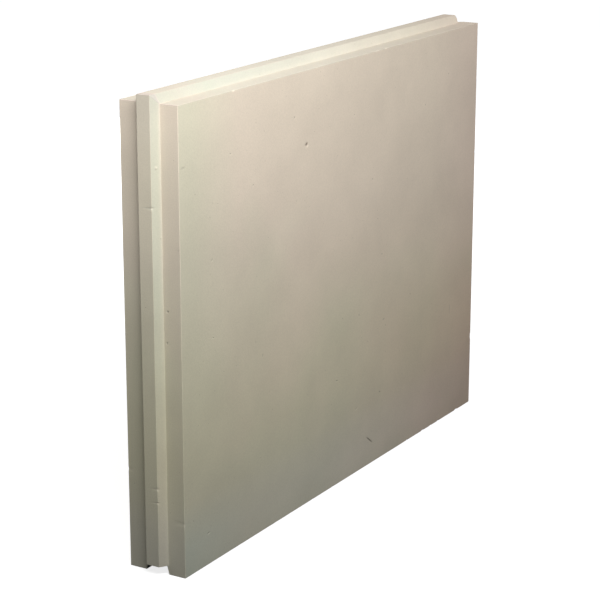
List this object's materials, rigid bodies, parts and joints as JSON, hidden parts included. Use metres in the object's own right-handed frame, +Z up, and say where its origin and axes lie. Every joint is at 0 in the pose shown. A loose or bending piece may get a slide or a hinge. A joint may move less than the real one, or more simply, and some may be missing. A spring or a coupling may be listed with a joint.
{
  "type": "plaster block",
  "caption": "Solid cast plaster partition block: an upright rectangular slab with a tapered tongue along its top and one end and a matching groove along its foot and other end.",
  "frame": {"origin": "centre of the overall length and thickness, at the level of the foot that the block stands on", "axes": "+X along the block's length, away from the end with the tongue; +Y through the thickness, from the front wall face to the back one; +Z up"},
  "size_m": [0.675, 0.07, 0.509],
  "materials": {
    "plaster": "matt cast plaster, warm off-white"
  },
  "bodies": {
    "root": {"plaster_block": "plaster"}
  },
  "joints": []
}
